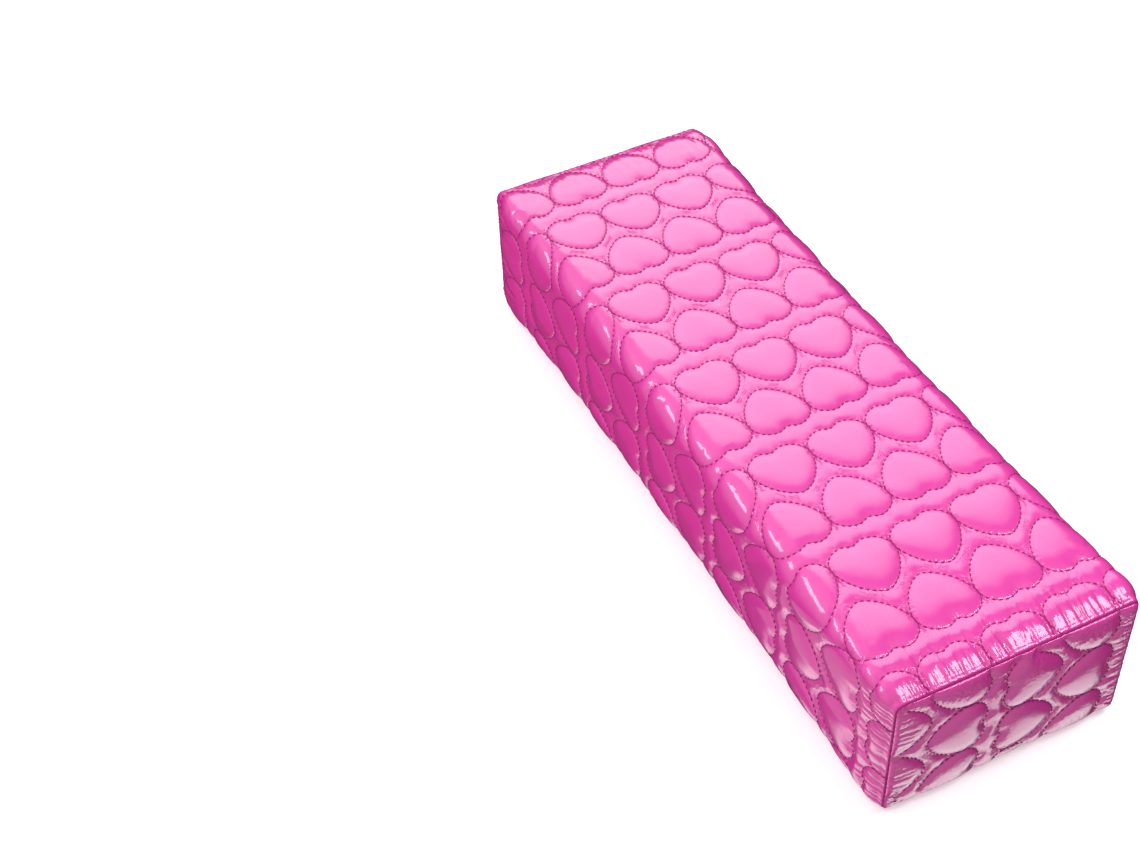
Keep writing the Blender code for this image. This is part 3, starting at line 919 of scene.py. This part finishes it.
def new_material(name):
    material = bpy.data.materials.new(name)
    material.use_nodes = True
    return material, material.node_tree.nodes["Principled BSDF"]


def node(material, kind, inputs=None, **settings):
    """Adds a node; an input is a value, or a socket to link from."""
    made = material.node_tree.nodes.new(kind)
    for key, value in settings.items():
        setattr(made, key, value)
    for key, value in (inputs or {}).items():
        if isinstance(value, bpy.types.NodeSocket):
            material.node_tree.links.new(value, made.inputs[key])
        else:
            made.inputs[key].default_value = value
    return made


def read_attribute(material, name):
    return node(material, "ShaderNodeAttribute", attribute_name=name).outputs["Fac"]


def maths(material, operation, one, two):
    return node(material, "ShaderNodeMath", {0: one, 1: two}, operation=operation).outputs[0]


def mix_colours(material, share, one, two):
    inputs = {"Factor": share, 6: one, 7: two}
    return node(material, "ShaderNodeMix", inputs, data_type="RGBA").outputs[2]


def noise(material, vector, scale, detail=3.0):
    inputs = {"Vector": vector, "Scale": scale, "Detail": detail}
    return node(material, "ShaderNodeTexNoise", inputs, noise_dimensions="3D").outputs["Fac"]


def stretched(material, vector, scale):
    return node(material, "ShaderNodeMapping", {"Vector": vector, "Scale": scale}).outputs[0]


def centred(material, height, share):
    """A height that swings round zero, faded by a share."""
    return maths(material, "MULTIPLY", maths(material, "SUBTRACT", height, 0.5), share)


def fading(material, distance, reach):
    """One at no distance, and nothing from reach on."""
    inputs = {0: distance, 1: 0.0, 2: reach, 3: 1.0, 4: 0.0}
    return node(material, "ShaderNodeMapRange", inputs).outputs[0]


def bumps(material, *layers):
    """The normal of bumps laid over each other, each a height with its depth and strength."""
    normal = None
    for height, (depth, strength) in layers:
        inputs = {"Height": height, "Distance": depth, "Strength": strength}
        if normal is not None:
            inputs["Normal"] = normal
        normal = node(material, "ShaderNodeBump", inputs).outputs[0]
    return normal


def patent_leather():
    """Pink patent leather: a clear gloss over a satin base, wrinkled where its stitches pull."""
    material, shader = new_material("pink_patent_leather")
    shader.inputs["Roughness"].default_value = 0.32
    shader.inputs["Specular IOR Level"].default_value = 0.25
    shader.inputs["Coat Weight"].default_value = 1.0
    shader.inputs["Coat Roughness"].default_value = 0.05
    shader.inputs["Coat IOR"].default_value = 1.5
    place = node(material, "ShaderNodeTexCoord").outputs["Object"]
    stitches = node(material, "ShaderNodeUVMap", uv_map="stitches").outputs[0]
    away = node(material, "ShaderNodeSeparateXYZ", {0: stitches}).outputs[1]
    seam = read_attribute(material, "seam")
    pleat = read_attribute(material, "pleat")

    mottle = noise(material, place, 60.0, 4.0)
    colour = mix_colours(material, mottle, *PINKS)
    # Painted shade: the colour darkens in the crease along each stitch line and in each pleat, where shade
    # falls
    painted_crease_shade = maths(material, "MULTIPLY", fading(material, away, CREASE_REACH), CREASE_SHADE)
    painted_crease_shade = maths(material, "MAXIMUM", painted_crease_shade, maths(material, "MULTIPLY", pleat, PLEAT_SHADE))
    colour = mix_colours(material, painted_crease_shade, colour, PAINTED_SHADE_PINK)
    material.node_tree.links.new(colour, shader.inputs["Base Color"])

    pulled = noise(material, stretched(material, stitches, (1000.0, 170.0, 1.0)), 1.0, 2.0)
    pulled = centred(material, pulled, fading(material, away, PULL_REACH))
    gathered = noise(material, stretched(material, place, (35.0, 650.0, 650.0)), 1.0, 2.0)
    gathered = centred(material, gathered, seam)
    waves = noise(material, place, 75.0, 2.0)
    grain = noise(material, place, 1600.0, 2.0)
    folds = ((waves, WAVES), (gathered, GATHERS), (pulled, PULLS))
    material.node_tree.links.new(bumps(material, *folds, (grain, GRAIN)), shader.inputs["Normal"])
    material.node_tree.links.new(bumps(material, *folds), shader.inputs["Coat Normal"])
    return material


def sewing_thread():
    """Twisted polyester thread, darker than the cloth."""
    material, shader = new_material("sewing_thread")
    shader.inputs["Roughness"].default_value = 0.5
    shader.inputs["Specular IOR Level"].default_value = 0.12
    place = node(material, "ShaderNodeTexCoord").outputs["Object"]
    fuzz = noise(material, place, 2500.0, 3.0)
    colour = mix_colours(material, fuzz, (0.28, 0.012, 0.120, 1), (0.46, 0.028, 0.210, 1))
    material.node_tree.links.new(colour, shader.inputs["Base Color"])
    twist = node(material, "ShaderNodeTexWave", {"Vector": place, "Scale": 700.0, "Distortion": 1.5})
    normal = bumps(material, (twist.outputs["Fac"], (0.00008, 0.6)))
    material.node_tree.links.new(normal, shader.inputs["Normal"])
    return material


def foam():
    """Cut upholstery foam with open cells."""
    material, shader = new_material("upholstery_foam")
    shader.inputs["Roughness"].default_value = 0.9
    place = node(material, "ShaderNodeTexCoord").outputs["Object"]
    cells = node(material, "ShaderNodeTexVoronoi", {"Vector": place, "Scale": 900.0}).outputs["Distance"]
    colour = mix_colours(material, cells, (0.62, 0.57, 0.42, 1), (0.82, 0.78, 0.64, 1))
    material.node_tree.links.new(colour, shader.inputs["Base Color"])
    material.node_tree.links.new(bumps(material, (cells, (0.0004, 0.7))), shader.inputs["Normal"])
    return material


def pale_floor():
    """A plain floor that only the camera sees; reflections and shadows leave it out."""
    material, shader = new_material("pale_floor")
    shader.inputs["Roughness"].default_value = 0.75
    shader.inputs["Emission Strength"].default_value = FLOOR_GLOW
    place = node(material, "ShaderNodeTexCoord").outputs["Object"]
    clouds = noise(material, place, 3.0)
    colour = mix_colours(material, clouds, (0.88, 0.88, 0.88, 1), (0.90, 0.90, 0.90, 1))
    material.node_tree.links.new(colour, shader.inputs["Base Color"])
    mesh = bpy.data.meshes.new("floor")
    bm = bmesh.new()
    bmesh.ops.create_grid(bm, x_segments=1, y_segments=1, size=FLOOR_REACH)
    bm.to_mesh(mesh)
    bm.free()
    mesh.materials.append(material)
    floor = bpy.data.objects.new("floor", mesh)
    floor.visible_glossy = floor.visible_diffuse = floor.visible_shadow = False
    bpy.context.scene.collection.objects.link(floor)


def soft_light(name, place, aim, size, radiance, colour):
    """A rectangular softbox or card that faces a point."""
    light = bpy.data.lights.new(name, "AREA")
    light.color = colour
    light.shape = "RECTANGLE"
    light.size, light.size_y = size
    light.energy = radiance * math.pi * size[0] * size[1]
    lamp = bpy.data.objects.new(name, light)
    lamp.visible_camera = False
    lamp.location = place
    lamp.rotation_euler = (Vector(place) - Vector(aim)).to_track_quat("Z", "Y").to_euler()
    bpy.context.scene.collection.objects.link(lamp)


def studio():
    """A dim world with soft glows in chosen directions, and the softboxes and cards."""
    world = bpy.data.worlds.new("studio")
    bpy.context.scene.world = world
    world.use_nodes = True
    way = node(world, "ShaderNodeTexCoord").outputs["Generated"]
    height = node(world, "ShaderNodeSeparateXYZ", {0: way}).outputs[2]
    overhead = {0: height, 1: 0.0, 2: WORLD_RISE, 3: HORIZON_LIGHT, 4: WORLD_LIGHT}
    light = node(world, "ShaderNodeMapRange", overhead).outputs[0]
    for towards, start, full, strength in GLOWS:
        ways = {0: way, 1: Vector(towards).normalized()}
        facing = node(world, "ShaderNodeVectorMath", ways, operation="DOT_PRODUCT").outputs["Value"]
        spread = {0: facing, 1: start, 2: full, 3: 0.0, 4: strength}
        glow = node(world, "ShaderNodeMapRange", spread, interpolation_type="SMOOTHSTEP")
        light = maths(world, "ADD", light, glow.outputs[0])
    sky = world.node_tree.nodes["Background"]
    sky.inputs[0].default_value = (1, 1, 1, 1)
    world.node_tree.links.new(light, sky.inputs[1])
    for softbox in SOFTBOXES:
        soft_light(*softbox)
    bpy.context.scene.view_settings.view_transform = "Standard"


def aim_camera():
    data = bpy.data.cameras.new("camera")
    data.lens = SENSOR * FOCAL / PHOTO_WIDTH
    data.sensor_width = SENSOR
    data.clip_start = 0.02
    camera = bpy.data.objects.new("camera", data)
    right, up = Vector(CAMERA_RIGHT), Vector(CAMERA_UP)
    turn = Matrix((right, up, right.cross(up))).transposed()
    camera.matrix_world = Matrix.Translation(CAMERA_AT) @ turn.to_4x4()
    bpy.context.scene.collection.objects.link(camera)
    bpy.context.scene.camera = camera


def main():
    leather, thread, filling = patent_leather(), sewing_thread(), foam()
    cloth = WrapCloth()
    wrap = make_wrap(cloth, leather)
    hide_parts("wrap_panel")
    covers, sewing = [wrap], [make_wrap_stitches(cloth, thread)]
    for end, word in ((1, "near"), (-1, "far")):
        cloth = EndCloth(SEED + end)
        panel = make_end(f"quilted_end_{word}", cloth, end, leather)
        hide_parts(f"end_panel_{word}")
        covers.append(panel)
        sewing.append(make_end_stitches(f"quilting_thread_{word}", cloth, end, thread))
        sewing.append(seam_thread(f"seam_thread_{word}", end, thread))
        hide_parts(f"end_seam_thread_{word}")
    simulate(covers)
    for piece in covers + sewing:
        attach(piece, "root")
    for name, made in frame["nodes"].items():
        finish = filling if name == "foam_core" else thread
        made.data.materials.clear()
        made.data.materials.append(finish)
    pale_floor()
    studio()
    aim_camera()


main()
